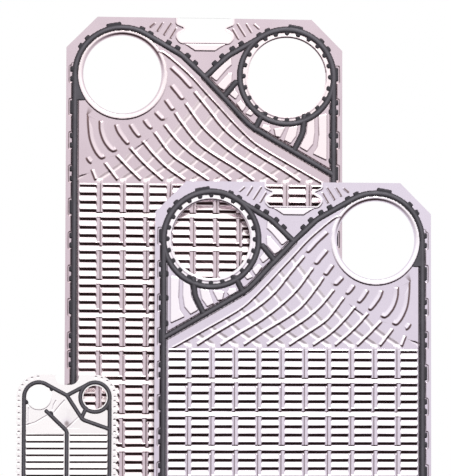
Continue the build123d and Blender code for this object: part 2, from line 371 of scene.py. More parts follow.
def pad_outline(pad):
    """A pad's outline with rounded corners, but for its second one."""
    return rounded(list(pad) + [pad[0], pad[1]], 3)[7:]


def near(x, d, path, margin):
    """Which points lie in the path's own box, so that only those are worked out."""
    low, high = np.min(path, axis=0) - margin, np.max(path, axis=0) + margin
    return (x > low[0]) & (x < high[0]) & (d > low[1]) & (d < high[1])


def ridge(x, d, h, path, rise, top, fall, height, end=3.0):
    """Presses a ridge forward: its long side climbs over rise, and its steep side drops over fall, centred on
    the path."""
    pick = near(x, d, path, rise + top + 6)
    side = along(x[pick], d[pick], path)[1]
    first, last = path[0] - path[1], path[-1] - path[-2]
    first, last = first / np.linalg.norm(first), last / np.linalg.norm(last)
    past = np.maximum((x[pick] - path[0][0]) * first[0] + (d[pick] - path[0][1]) * first[1],
                      (x[pick] - path[-1][0]) * last[0] + (d[pick] - path[-1][1]) * last[1])
    across = ramp(side, -(rise + top), -top) * (1 - ramp(side, -fall / 2, fall / 2))
    mask = across * (1 - ramp(past, -end, 0.5))
    h = h.copy()
    h[pick] = h[pick] + (height - h[pick]) * mask
    return h


def rib_gap(rib_x, down):
    """Where the washboard runs on across a column rib: a light step every fourth row, and beside it the steep
    part of the row below or above as far as the rib's line."""
    s = np.mod((down - FIELD_D) / ROW, 1.0)
    row = np.mod(np.floor((down - FIELD_D) / ROW), 8)
    before, after = ramp(s, 0.50, 0.62), 1 - ramp(s, 0.02, 0.14)
    step = np.where(np.mod(row, 4) == 3, before, np.where(np.mod(row, 4) == 0, after, 0.0))
    left = np.where(row == 4, 1 - ramp(s, 0.50, 0.62), 0.0) * (1 - ramp(rib_x, -2.6, -1.2))
    right = np.where(row == 7, ramp(s, 0.0, 0.12), 0.0) * ramp(rib_x, -1.2, 0.2)
    return np.maximum(np.maximum(step, left), right) * (down > FIELD_D + 2 * ROW)


def large_height(x, d, down):
    """Height of the sheet's front face: d is the depth below the nearer end, down that below the top."""
    h = np.full(x.shape, MID)
    ax = np.abs(x)

    # cross channels and flow ridges of the spreading zone
    spread = 1 - ramp(inside_distance(x, d, SPREAD), -2.0, 1.0)
    for path in cross_paths():
        pick = near(x, d, path, 9)
        if not pick.any():
            continue
        side = along(x[pick], d[pick], path)[1]
        # side is positive right of the path's direction, which runs up and left: that is the upper right
        mask = ramp(-side, -8.5, -3.5) * (1 - ramp(-side, -1.1, 1.3)) * spread[pick]
        h[pick] += (FLOOR + 0.5 - h[pick]) * mask
    for k, points in enumerate(FLOW):
        rise, top = (4.8, 1.4) if k else (2.5, 1.2)
        h = ridge(x, d, h, smooth_path(points, 4), rise, top, 4.2, CREST, end=2.0)

    for points in FINGERS:
        h = ridge(x, d, h, smooth_path(points[::-1], 4), 8.0, 0.8, 4.4, CREST - 0.3, end=1.5)

    # washboard
    s = np.mod((down - FIELD_D) / ROW, 1.0)
    wave = np.where(s < 0.52, np.minimum(1 - ramp(s, 0.13, 0.52), ramp(s, -0.48, 0.13)), ramp(s, 0.52, 1.13))
    board = BOARD_LOW + (CREST - BOARD_LOW) * wave
    rib_x = np.mod(x, COLUMN) - COLUMN / 2
    rib = (1 - ramp(np.abs(rib_x), 4.6, 6.6)) * (1 - rib_gap(rib_x, down))
    rib_line = 1 - ramp(np.abs(rib_x + RIB_LINE), 0, 2.0)
    rib_h = -1.45 + 0.4 * (1 - ramp(np.abs(rib_x), 0.0, 4.4)) - 0.8 * rib_line
    board = board + (rib_h - board) * rib
    in_field = ramp(d, FIELD_D + 0.5, FIELD_D + 3.0) * (1 - ramp(ax, FIELD_X - 2.5, FIELD_X))
    h = h + (board - h) * in_field
    # column ribs run up to the cross channels
    stub = rib * ramp(d, FIELD_D - 9, FIELD_D - 3) * (1 - ramp(d, FIELD_D, FIELD_D + 3)) * (ax < FIELD_X)
    h = h + (rib_h - h) * stub

    # drained corner pads
    for pad in PADS:
        outline = pad_outline(pad)
        pick = near(x, d, outline, 4)
        inner = inside_distance(x[pick], d[pick], outline)
        h[pick] += (CREST - 0.6 - h[pick]) * (1 - ramp(inner, -1.6, 0.6))

    # hanger notch: embossed rim, panel below it and slanted ribs beside it
    notch = inside_distance(ax, d, np.concatenate([NOTCH, [(-9, -9)]]))
    h += (-0.9 - h) * (1 - ramp(notch, 2.2, 4.2)) * (d > -5)
    panel = np.array([(-47, 43), (-34, 49), (-18, 59.5), (18, 59.5), (34, 49), (47, 43), (40, 47), (-40, 47)])
    pick = near(x, d, panel, 5)
    inner = inside_distance(x[pick], d[pick], panel)
    h[pick] += (-0.7 - h[pick]) * (1 - ramp(inner, -1.4, 0.8))
    for rib_points in NOTCH_RIBS:
        for flip in (-1, 1):
            path = np.array([(flip * px, pd) for px, pd in rib_points[::flip]], float)
            dist = np.full(x.shape, 9.0)
            pick = near(x, d, path, 5)
            dist[pick] = distance(x[pick], d[pick], path)
            h += (-1.5 - h) * (1 - ramp(dist, 1.0, 2.2))

    # bead round the open port, and a plain lip round the ringed one
    r = np.hypot(x - PORT_X, d - PORT_D)
    bead = ramp(r, 72.0, 76.5) * (1 - ramp(r, 79.6, 82.0))
    h += (CREST - h) * bead
    r = np.hypot(x + PORT_X, d - PORT_D)
    h += (-1.3 - h) * (1 - ramp(r, 75.0, 77.5))
    h += (-3.2 - h) * (1 - ramp(r, 70.8, 72.8))

    # shelf beside the gasket, then its groove with the tab pockets
    h += (np.minimum(h, -2.9) - h) * (1 - ramp(wall_distance(x, d), -0.5, 0.7)) * (1 - in_field)
    groove = np.minimum.reduce([seal_distance(x, d) - BAND, link_distance(x, d) - LINK_BAND,
                                teeth_distance(x, d) + 0.2, inner_nubs(x, d), port_web(x, d) + 0.4])
    pockets = np.minimum(tab_distance(x, d, 0.4, 0.4), shoulder_tab_distance(x, d, 0.3))
    sunk = 1 - ramp(np.minimum(groove, pockets + 0.2), -0.5, 0.8)
    h += (FLOOR - h) * sunk
    return h


def overhang(function, x, d, gap=0.25):
    """How steeply a pressing's face looks down and to the right, 0 to 1. Such flanks get painted shade."""
    across = (function(x + gap, d) - function(x - gap, d)) / (2 * gap)
    down = (function(x, d + gap) - function(x, d - gap)) / (2 * gap)
    return ramp(-0.9 * down - 0.45 * across, 0.12, 0.42)


def large_painted_light(x, d, down):
    """Painted light and shade of the sheet, 0 to 1: painted shade at 0 on flanks that look down and to the
    right and on the lines beside ridges, FLAT_TONE on the flat sheet and a painted highlight at 1 on crests."""
    h = large_height(x, d, down)
    # crests are painted lighter, as a painted highlight
    tone = FLAT_TONE + (1 - FLAT_TONE) * ramp(h, -1.85, -1.0)
    spread = 1 - ramp(inside_distance(x, d, SPREAD), -3.0, 0.0)
    # painted highlight on each cross channel's wall that looks up and to the right, and a painted shade line
    # along its steep side
    for path in cross_paths():
        pick = near(x, d, path, 10)
        if pick.any():
            side = -along(x[pick], d[pick], path)[1]
            mask = ramp(side, -9.5, -8.0) * (1 - ramp(side, 0.0, 2.0)) * spread[pick]
            tone[pick] = np.maximum(tone[pick], mask)
            line = 1 - ramp(np.abs(side - 0.2), 0.5, 1.4)
            tone[pick] *= 1 - 0.6 * line * spread[pick]
    # a painted shade line along each finger, and painted light held to half within 8 mm of it
    for points in FINGERS:
        pick = near(x, d, np.array(points), 10)
        if pick.any():
            beside = distance(x[pick], d[pick], smooth_path(points, 4))
            tone[pick] = np.minimum(tone[pick], 0.5 + 0.5 * ramp(beside, 8.0, 9.5)) * ramp(beside, 1.2, 2.6)
    # a painted shade line just below and right of each flow ridge
    for points in FLOW:
        pick = near(x, d, np.array(points), 3)
        if pick.any():
            tone[pick] *= ramp(distance(x[pick] - 0.4, d[pick] - 0.4, smooth_path(points, 4)), 0.9, 2.2)
    # a painted shade line beside each notch rib
    for points in NOTCH_RIBS:
        path = np.array(points, float)
        for flip in (-1, 1):
            pick = near(flip * x, d, path, 5)
            beside = distance(flip * (x[pick] - 1.6), d[pick] - 0.4, path)
            tone[pick] *= ramp(beside, 0.9, 2.1)
    # painted shade round each pad's outline
    for pad in PADS:
        outline = pad_outline(pad)
        pick = near(x, d, outline, 4)
        inner = np.abs(inside_distance(x[pick], d[pick], outline) + 0.2)
        tone[pick] *= 1 - 0.6 * (1 - ramp(inner, 0.3, 1.2))
    # the washboard is painted light, its column ribs darker, with a painted shade line along each rib
    rib_x = np.mod(x, COLUMN) - COLUMN / 2
    rib = (1 - ramp(np.abs(rib_x), 4.8, 6.0)) * (1 - rib_gap(rib_x, down))
    line = 1 - ramp(np.abs(rib_x + RIB_LINE), 0.5, 1.6)
    board = 1.0 - 0.55 * rib - 0.38 * line * rib - 0.5 * line * (1 - rib)
    in_field = ramp(d, FIELD_D, FIELD_D + 2.0) * (1 - ramp(np.abs(x), FIELD_X - 1.0, FIELD_X + 0.5))
    tone += (board - tone) * in_field
    # painted highlight on the ringed port's lip
    lip = 1 - ramp(np.hypot(x + PORT_X, d - PORT_D), 80.5, 82.5)
    tone = np.maximum(tone, lip)
    # a painted shade line along the wall beside the gasket
    wall = np.abs(wall_distance(x, d) - 0.2)
    tone *= 1 - 0.75 * (1 - ramp(wall, 0.4, 1.3)) * (1 - in_field)
    # painted shade on flanks that look down and to the right
    flank_shade = overhang(lambda px, pd: large_height(px, pd, pd - d + down), x, d)
    return np.clip(tone * (1 - flank_shade), 0.0, 1.0)


def gasket_height(x, d):
    """Height of the gasket's front face: a roofed band with lower shoulders, tabs lower still."""
    edge = gasket_edge(x, d)
    seal = seal_distance(x, d)
    link = link_distance(x, d)
    roof = np.maximum(1 - ramp(seal, 0.6, 4.4), 0.8 * (1 - ramp(link, 0.6, 4.2)))
    soft = 1 - np.sqrt(np.clip(1 - np.clip(1 + edge / 1.2, 0, 1) ** 2, 0, 1))
    return GASKET_TOP - 1.25 * (1 - roof) - 0.9 * soft


def gasket_painted_light(x, d):
    """Painted light of the rubber: a painted highlight along the middle of each band and over the port web,
    painted shade at the band edges.
    """
    bands = 1 - ramp(seal_distance(x, d), 0.4, 3.8)
    bands = np.maximum(bands, 0.6 * (1 - ramp(link_distance(x, d), 0.4, 3.6)))
    return np.maximum(bands, 0.7 * (1 - ramp(port_web(x, d), -2.0, 0.0)))


# ---- Small plate ----
S_WIDE = 180.0
S_LONG = 480.0
S_CORNER = 40.0
S_PORT_R = 20.8
S_PORT = (50.0, 40.0)
S_SHEET = 0.6
S_CREST = -0.1
S_MID = -1.2
S_FLOOR = -2.4
S_BAND = 2.8
S_RUN_X = 76.3
S_SEAL_R = 26.3
S_RING_R = 26.3
S_GASKET_BACK = -2.1
S_GASKET_TOP = 0.95
S_ROW = 12.0
S_FIELD_D = 105.5
SCALLOP = 11.0
S_JUNCTION_D = 37.0
S_SHOULDER_ANGLE = 125.0
S_SHOULDER_END = (S_PORT[0] + S_SEAL_R * np.cos(np.radians(S_SHOULDER_ANGLE)),
                  S_PORT[1] - S_SEAL_R * np.sin(np.radians(S_SHOULDER_ANGLE)))
S_DIAGONAL = rounded([(0, S_JUNCTION_D), (28, 80), (S_RUN_X, 97)], 14)
# The divider's upper part, with its round end. Below DIVIDER_SPLIT it runs straight to the lower junction.
DIVIDER_SPLIT = 300.0
DIVIDER = rounded([(0, DIVIDER_SPLIT), (0, 100), (-36.5, 65)], 12)
S_CREASES = [[(-23, 67.5), (-13, 55), (-4.5, 46)], [(-26, 62), (-24, 54), (-20, 47)], [(-68, 60), (-69, 84)],
             [(-4, 98), (10, 86), (24, 73)], [(-72, 90), (-56, 85), (-36, 73)]]


def small_end(d):
    """Depth below the nearer end."""
    return np.minimum(d, S_LONG - d)


def small_edge(x, d):
    """Signed distance to the small sheet's outline: scalloped long edges, a dip at each end, four ports."""
    ax, near_d = np.abs(x), small_end(d)
    rim = box_distance(x, d, 0, S_LONG / 2, S_WIDE / 2, S_LONG / 2, S_CORNER)
    along_edge = np.mod(d - S_LONG / 2, SCALLOP) - SCALLOP / 2
    scallops = np.where(near_d > S_CORNER, 2.6 - np.hypot(ax - S_WIDE / 2, along_edge), -9)
    dip = -box_distance(x, near_d, 0, 0, 21, 18, 15)
    ports = S_PORT_R - np.hypot(ax - S_PORT[0], near_d - S_PORT[1])
    return np.maximum.reduce([rim, scallops, dip, ports])


def small_seal(x, d):
    """Distance to the centre line of every band of the small gasket, less its half width."""
    ax, near_d = np.abs(x), small_end(d)
    px, pd = ax - S_PORT[0], S_PORT[1] - near_d
    angle = np.degrees(np.arctan2(pd, px))
    arcs = np.where((angle > -1) & (angle < S_SHOULDER_ANGLE), np.abs(np.hypot(px, pd) - S_SEAL_R), 1e9)
    run = np.where(near_d > S_PORT[1], np.abs(ax - S_RUN_X), 1e9)
    shoulder = distance(ax, near_d, [S_SHOULDER_END, (0, S_JUNCTION_D)])
    ring = np.abs(np.hypot(x - S_PORT[0], near_d - S_PORT[1]) - S_RING_R)
    link = distance(x, near_d, [(34, 60), (27, 75)])
    straight = [(0, DIVIDER_SPLIT), (0, S_LONG - S_JUNCTION_D)]
    divider = np.where(d < DIVIDER_SPLIT, distance(x, d, DIVIDER), distance(x, d, straight))
    bands = np.minimum.reduce([arcs, run, shoulder, ring, link, divider, distance(x, near_d, S_DIAGONAL)])
    return bands - S_BAND


def small_gasket_edge(x, d):
    near_d = small_end(d)
    knob = np.hypot(x + 29, d - 70) - 4.3
    nubs = np.minimum(np.hypot(x + 27.5, near_d - 26) - 2.6, np.hypot(x + 71.5, near_d - 49) - 3.0)
    nubs = np.minimum(nubs, np.hypot(x - 72.5, near_d - 60) - 3.0)
    return np.minimum.reduce([small_seal(x, d), knob, nubs])


def small_height(x, d):
    """Height of the small sheet's front face: fine washboard below smooth facets."""
    ax, near_d = np.abs(x), small_end(d)
    h = np.full(x.shape, S_MID)
    # facets above the washboard: a shallow tent on the left, a crease on the right and a bowl between
    left = (x < 0) & (near_d > 50)
    grade = np.clip((near_d - 62) / 45, 0, 1)
    tent = 0.75 * grade * (1 - ramp(ax, 40, 74) * 0.6)
    crease = along(x, near_d, [(-80, 92), (-56, 85), (-34, 72)])[1]
    h += np.where(left & (near_d < S_FIELD_D), tent * ramp(crease, -0.8, 0.8), 0)
    crease_right = along(x, near_d, [(-4, 98), (10, 86), (24, 73)])[1]
    right = (x > -2) & (near_d > 60) & (near_d < S_FIELD_D)
    h += np.where(right, 0.8 * ramp(crease_right, -0.8, 0.9) * (1 - grade * 0.5), 0)
    bowl = np.hypot(x, (near_d - 92) * 0.8)
    h -= 0.75 * (1 - ramp(bowl, 2, 26)) * (near_d < 96)
    for path in S_CREASES:
        h -= 0.5 * (1 - ramp(distance(x, near_d, path), 0.2, 1.8))
    side_rib = (1 - ramp(np.abs(x + 68.5), 0.4, 2.6)) * ramp(near_d, 52, 58) * (1 - ramp(near_d, 84, 90))
    h += 0.7 * side_rib
    # washboard: the sheet falls back quickly and comes forward again slowly
    s = np.mod((d - S_FIELD_D) / S_ROW, 1.0)
    wave = np.where(s < 0.30, 1 - ramp(s, 0.0, 0.30), ramp(s, 0.30, 1.0))
    board = S_FLOOR + 0.2 + (S_CREST - S_FLOOR - 0.2) * wave
    inside = ramp(near_d, S_FIELD_D - 1, S_FIELD_D + 1) * (1 - ramp(ax, 71, 73)) * ramp(ax, 4.6, 6.4)
    h += (board - h) * inside
    # dimples along the scalloped edge, and round its corners
    pitch = np.mod(d - S_LONG / 2, SCALLOP) - SCALLOP / 2
    dimple = np.where(near_d > S_CORNER, np.hypot((ax - 85.3) * 0.9, pitch), 9)
    corner_x, corner_d = ax - (S_WIDE / 2 - S_CORNER), near_d - S_CORNER
    corner, turn = np.hypot(corner_x, corner_d), np.arctan2(corner_d, corner_x)
    step = np.radians(17.5)
    turn = turn - step * np.round(turn / step)
    round_corner = np.where((near_d < S_CORNER) & (ax > 44), np.hypot(corner - 35.6, 35.6 * turn), 9)
    h += (S_FLOOR + 0.5 - h) * (1 - ramp(np.minimum(dimple, round_corner), 1.0, 2.8))
    # lip round the open ports, then the groove
    r = np.hypot(ax - S_PORT[0], near_d - S_PORT[1])
    h += (S_MID + 0.5 - h) * (1 - ramp(r, 22.0, 23.2)) * (x < 0)
    sunk = 1 - ramp(small_gasket_edge(x, d), -0.3, 0.7)
    h += (S_FLOOR - h) * sunk
    return h


def small_painted_light(x, d):
    """Painted light and shade of the small sheet: painted shade on flanks that look down and to the right, in
    the creases and in the bowl above the divider."""
    near_d = small_end(d)
    # painted shade in the bowl above the divider
    bowl = 1 - ramp(np.hypot(x * 1.1, near_d - 87), 2, 15)
    tone = 0.9 - 0.8 * bowl * (near_d < 97)
    # painted shade along the creases
    for path in S_CREASES:
        tone *= 1 - 0.7 * (1 - ramp(distance(x, near_d, path), 0.4, 1.5))
    # painted shade on flanks that look down and to the right
    return np.clip(tone * (1 - overhang(small_height, x, d)), 0.0, 1.0)


def small_gasket_height(x, d):
    edge = small_gasket_edge(x, d)
    roof = 1 - ramp(small_seal(x, d) + S_BAND, 0.4, 2.9)
    soft = 1 - np.sqrt(np.clip(1 - np.clip(1 + edge / 0.9, 0, 1) ** 2, 0, 1))
    return S_GASKET_TOP - 0.7 * (1 - roof) - 0.5 * soft


def small_gasket_painted_light(x, d):
    # a painted highlight along each band's middle, painted shade at its edges
    return 1 - ramp(small_seal(x, d) + S_BAND, 0.3, 2.5)


# ---- From heights to meshes ----
def cut_grid(edge, wide, long, step):
    """Triangles of a grid that lie inside edge < 0, cut exactly at it: (points, triangles)."""
    nx, nd = int(round(wide / step)) + 1, int(round(long / step)) + 1
    xs, ds = np.linspace(-wide / 2, wide / 2, nx), np.linspace(0, long, nd)
    x, d = np.meshgrid(xs, ds)
    points = np.stack([x.ravel(), d.ravel()], 1)
    value = edge(x, d).ravel()
    value[np.abs(value) < 1e-6] = -1e-6
    ids = np.arange(nx * nd).reshape(nd, nx)
    a, b, c, e = ids[:-1, :-1].ravel(), ids[:-1, 1:].ravel(), ids[1:, 1:].ravel(), ids[1:, :-1].ravel()
    flip = (np.add.outer(np.arange(nd - 1), np.arange(nx - 1)) % 2).ravel() == 0
    tris = np.concatenate([
        np.stack([a, b, c], 1)[flip], np.stack([a, c, e], 1)[flip],
        np.stack([a, b, e], 1)[~flip], np.stack([b, c, e], 1)[~flip]])
    held = value[tris] < 0
    count = held.sum(1)
    whole = tris[count == 3]
    one, two = tris[count == 1], tris[count == 2]
    # turn each cut triangle so that its odd corner comes first
    one = np.take_along_axis(one, (np.argmax(held[count == 1], 1)[:, None] + np.arange(3)) % 3, 1)
    two = np.take_along_axis(two, (np.argmin(held[count == 2], 1)[:, None] + np.arange(3)) % 3, 1)
    sides = np.concatenate([one[:, [0, 1]], one[:, [0, 2]], two[:, [0, 1]], two[:, [0, 2]]])
    keys = np.sort(sides, 1)
    unique, back = np.unique(keys[:, 0] * (nx * nd) + keys[:, 1], return_inverse=True)
    low, high = unique // (nx * nd), unique % (nx * nd)
    t = value[low] / (value[low] - value[high])
    crossing = points[low] + (points[high] - points[low]) * t[:, None]
    back = back + nx * nd
    n1, n2 = len(one), len(two)
    p, q = back[:n1], back[n1:2 * n1]
    r, s = back[2 * n1:2 * n1 + n2], back[2 * n1 + n2:]
    tris = np.concatenate([whole, np.stack([one[:, 0], p, q], 1),
                           np.stack([r, two[:, 1], two[:, 2]], 1), np.stack([r, two[:, 2], s], 1)])
    points = np.concatenate([points, crossing])
    used, tris = np.unique(tris, return_inverse=True)
    return points[used], tris.reshape(-1, 3)


def add_object(name, data):
    piece = bpy.data.objects.new(name, data)
    bpy.context.scene.collection.objects.link(piece)
    return piece


def add_mesh(name, points, corners, sizes):
    """A mesh object from its points, the faces' corners in one row, and each face's number of corners."""
    mesh = bpy.data.meshes.new(name)
    mesh.vertices.add(len(points))
    mesh.vertices.foreach_set("co", points.ravel())
    mesh.loops.add(len(corners))
    mesh.loops.foreach_set("vertex_index", corners.astype(np.int32))
    mesh.polygons.add(len(sizes))
    mesh.polygons.foreach_set("loop_start", (np.cumsum(sizes) - sizes).astype(np.int32))
    mesh.update(calc_edges=True)
    return add_object(name, mesh)


def thin_out(points, heights, tris, target, held=()):
    """Collapses the flattest triangles until about target are left, but no held point: (points, tris)."""
    place = np.column_stack([points[:, 0], -heights, -points[:, 1]])
    holder = add_mesh("raw", place, tris.ravel(), np.full(len(tris), 3))
    mesh = holder.data
    modifier = holder.modifiers.new("thin", "DECIMATE")
    modifier.ratio = min(1.0, target / len(tris))
    if len(held):
        free = holder.vertex_groups.new(name="free")
        free.add(np.setdiff1d(np.arange(len(points)), held).tolist(), 1.0, "REPLACE")
        modifier.vertex_group = free.name
    result = holder.evaluated_get(bpy.context.evaluated_depsgraph_get()).to_mesh()
    place = np.empty(3 * len(result.vertices))
    result.vertices.foreach_get("co", place)
    result.calc_loop_triangles()
    corners = np.empty(3 * len(result.loop_triangles), np.int32)
    result.loop_triangles.foreach_get("vertices", corners)
    holder.to_mesh_clear()
    bpy.data.objects.remove(holder)
    bpy.data.meshes.remove(mesh)
    place = place.reshape(-1, 3)
    return np.column_stack([place[:, 0], -place[:, 2]]), corners.reshape(-1, 3)


def slope(function, points, gap=0.12):
    """Gradient of a function of (x, d) at the points."""
    x, d = points[:, 0], points[:, 1]
    return np.column_stack([(function(x + gap, d) - function(x - gap, d)),
                            (function(x, d + gap) - function(x, d - gap))]) / (2 * gap)


def plan_mesh(height, edge, tone, wide, long, step, target, back_target=0):
    """Everything a piece's mesh needs, in its own plan: points, heights, slopes, triangles, tones of painted
    light and shade, and rim edges. target and back_target are about how many triangles the front and the back
    get, and a flat back needs no target."""
    points, tris = cut_grid(edge, wide, long, step)
    # every triangle turns the same way
    a, b, c = points[tris[:, 0]], points[tris[:, 1]], points[tris[:, 2]]
    area = (b - a)[:, 0] * (c - a)[:, 1] - (b - a)[:, 1] * (c - a)[:, 0]
    tris = np.where((area > 0)[:, None], tris[:, ::-1], tris)[np.abs(area) > 1e-9]
    heights = height(points[:, 0], points[:, 1])
    points, tris = thin_out(points, heights, tris, target)
    sides = np.concatenate([tris[:, [0, 1]], tris[:, [1, 2]], tris[:, [2, 0]]])
    key = np.sort(sides, 1)
    _, first, times = np.unique(key[:, 0] * len(points) + key[:, 1], return_index=True, return_counts=True)
    rim = sides[first[times == 1]]
    # rim points go back on the outline
    ends = np.unique(rim)
    for _ in range(2):
        out = slope(edge, points[ends])
        size = np.maximum((out * out).sum(1), 0.2)
        value = edge(points[ends, 0], points[ends, 1])
        move = out * (value / size)[:, None]
        points[ends] -= np.where(np.abs(value)[:, None] < 1.5, move, 0)
    heights = height(points[:, 0], points[:, 1])
    out = slope(edge, points)
    out /= np.maximum(np.linalg.norm(out, axis=1), 1e-6)[:, None]
    tilt, inner = corner_tilt(height, points[tris], heights[tris])
    shades = tone(inner[:, :, 0], inner[:, :, 1])
    # the back is thinned further, a flat one as far as it goes, and keeps the same rim
    behind = heights if back_target else heights * 0
    back_points, back_tris = thin_out(points, behind, tris, back_target or 10, ends)
    order = {(a, b): k for k, (a, b) in enumerate(back_points.astype(np.float32).tolist())}
    pair = {k: order[a, b] for k, (a, b) in zip(ends, points[ends].astype(np.float32).tolist())}
    back_heights = height(back_points[:, 0], back_points[:, 1])
    back_tilt = corner_tilt(height, back_points[back_tris], back_heights[back_tris])[0]
    back_rim = np.array([[pair[a], pair[b]] for a, b in rim])
    real = back_rim[:, 0] != back_rim[:, 1]
    return {"points": points, "height": heights, "tilt": tilt, "out": out, "tris": tris, "tone": shades,
            "rim": rim[real], "back_points": back_points, "back_height": back_heights,
            "back_tris": back_tris, "back_tilt": back_tilt, "back_rim": back_rim[real]}


def corner_tilt(height, corners, heights, most=0.45):
    """Slope at each triangle's corners, read a little inside it and kept near the triangle's own slope."""
    inner = corners + (corners.mean(1, keepdims=True) - corners) * 0.3
    flat = np.zeros((len(corners), 2))
    (x1, d1), (x2, d2) = (corners[:, 1] - corners[:, 0]).T, (corners[:, 2] - corners[:, 0]).T
    h1, h2 = heights[:, 1] - heights[:, 0], heights[:, 2] - heights[:, 0]
    area = x1 * d2 - x2 * d1
    area = np.where(np.abs(area) < 1e-6, 1e-6, area)
    flat[:, 0], flat[:, 1] = (h1 * d2 - h2 * d1) / area, (h2 * x1 - h1 * x2) / area
    tilt = slope(height, inner.reshape(-1, 2)).reshape(-1, 3, 2)
    off = tilt - flat[:, None]
    size = np.linalg.norm(off, axis=2, keepdims=True)
    return flat[:, None] + off * np.minimum(1.0, most / np.maximum(size, 1e-6)), inner


def facing(tilt):
    """Unit normals towards the viewer from slopes."""
    normal = np.stack([-tilt[:, :, 0], -np.ones(tilt.shape[:2]), tilt[:, :, 1]], 2)
    return normal / np.linalg.norm(normal, axis=2, keepdims=True)


def raise_piece(name, plan, place, back, material, node, mirrored=False):
    """Makes a closed piece from a plan. back is a thickness, or the level of a flat back if negative."""
    plan = dict(plan)
    if mirrored:
        for key in ("points", "back_points", "out"):
            plan[key] = plan[key] * [-1, 1]
        for key in ("tilt", "back_tilt"):
            plan[key] = plan[key][:, ::-1] * [-1, 1]
        for key in ("tris", "back_tris", "rim", "back_rim", "tone"):
            plan[key] = plan[key][:, ::-1]
    points, far, tris, rim = plan["points"], plan["back_points"], plan["tris"], plan["rim"]
    count = len(points)
    behind = plan["back_height"] - back if back > 0 else np.full(len(far), back)
    co = np.concatenate([
        np.column_stack([place[0] + points[:, 0], place[1] - plan["height"], place[2] - points[:, 1]]),
        np.column_stack([place[0] + far[:, 0], place[1] - behind, place[2] - far[:, 1]])]) * 0.001
    normal = facing(plan["tilt"])
    away = -facing(plan["back_tilt"])[:, ::-1]
    if back < 0:
        away = np.broadcast_to([0.0, 1.0, 0.0], away.shape)
    back_tris, back_rim = plan["back_tris"][:, ::-1] + count, plan["back_rim"] + count
    walls = np.column_stack([rim[:, 1], rim[:, 0], back_rim[:, 0], back_rim[:, 1]])
    side = np.column_stack([plan["out"][:, 0], np.zeros(count), -plan["out"][:, 1]])
    side = side[np.column_stack([rim[:, 1], rim[:, 0], rim[:, 0], rim[:, 1]])]
    corners = np.concatenate([tris.ravel(), back_tris.ravel(), walls.ravel()])
    sizes = np.concatenate([np.full(len(tris) + len(back_tris), 3), np.full(len(walls), 4)])
    piece = add_mesh(name, co, corners, sizes)
    mesh = piece.data
    mesh.polygons.foreach_set("use_smooth", np.ones(len(sizes), bool))
    mesh.normals_split_custom_set(np.concatenate([part.reshape(-1, 3) for part in (normal, away, side)]))
    # the painted light and shade rides on the mesh as its tone; back and walls get a plain middle value
    painted_light_layer = mesh.attributes.new("tone", "FLOAT", "CORNER")
    plain = np.full(back_tris.size + walls.size, 0.5)
    painted_light_layer.data.foreach_set("value", np.concatenate([plan["tone"].ravel(), plain]))
    mesh.materials.append(material)
    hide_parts(node)
    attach(piece, node)


# ---- Materials ----
def add_node(tree, kind, **inputs):
    """A node whose named inputs are linked to sockets or set to constants."""
    node = tree.nodes.new("ShaderNode" + kind)
    for key, value in inputs.items():
        socket = node.inputs[key.replace("_", " ")]
        if isinstance(value, bpy.types.NodeSocket):
            tree.links.new(value, socket)
        else:
            socket.default_value = value
    return node


class Shader:
    """A material's node tree with short calls for what the finishes here need."""

    def __init__(self, name):
        self.material = bpy.data.materials.new(name)
        self.material.use_nodes = True
        self.tree = self.material.node_tree
        self.surface = self.tree.nodes["Principled BSDF"]
        self.where = add_node(self.tree, "TexCoord").outputs["Object"]

    def noise(self, scale, detail=3.0, rough=0.5, stretch=None):
        source = self.where
        if stretch:
            source = add_node(self.tree, "Mapping", Scale=stretch, Vector=source).outputs["Vector"]
        return add_node(self.tree, "TexNoise", Scale=scale, Detail=detail, Roughness=rough,
                        Vector=source).outputs["Fac"]

    def spread(self, value, low, high, first=0.3, last=0.7):
        return add_node(self.tree, "MapRange", From_Min=first, From_Max=last, To_Min=low, To_Max=high,
                        Value=value).outputs["Result"]

    def blend(self, value, dark, light, first=0.3, last=0.7):
        node = self.tree.nodes.new("ShaderNodeMix")
        node.data_type = "RGBA"
        self.tree.links.new(self.spread(value, 0.0, 1.0, first, last), node.inputs["Factor"])
        for socket, colour in ((node.inputs[6], dark), (node.inputs[7], light)):
            if isinstance(colour, tuple):
                socket.default_value = (*colour, 1.0)
            else:
                self.tree.links.new(colour, socket)
        return node.outputs[2]

    def bumps(self, *layers):
        """Stacked bumps: (height, strength, distance in metres)."""
        normal = None
        for value, strength, distance_m in layers:
            node = add_node(self.tree, "Bump", Strength=strength, Distance=distance_m, Height=value)
            if normal:
                self.tree.links.new(normal, node.inputs["Normal"])
            normal = node.outputs["Normal"]
        self.tree.links.new(normal, self.surface.inputs["Normal"])

    def join(self, socket, value):
        self.tree.links.new(value, self.surface.inputs[socket])

    def painted_light_and_shade(self):
        # the mesh's tone attribute: its painted light and shade
        node = add_node(self.tree, "Attribute")
        node.attribute_name = "tone"
        return node.outputs["Fac"]

    def set(self, **values):
        for key, value in values.items():
            self.surface.inputs[key.replace("_", " ")].default_value = value


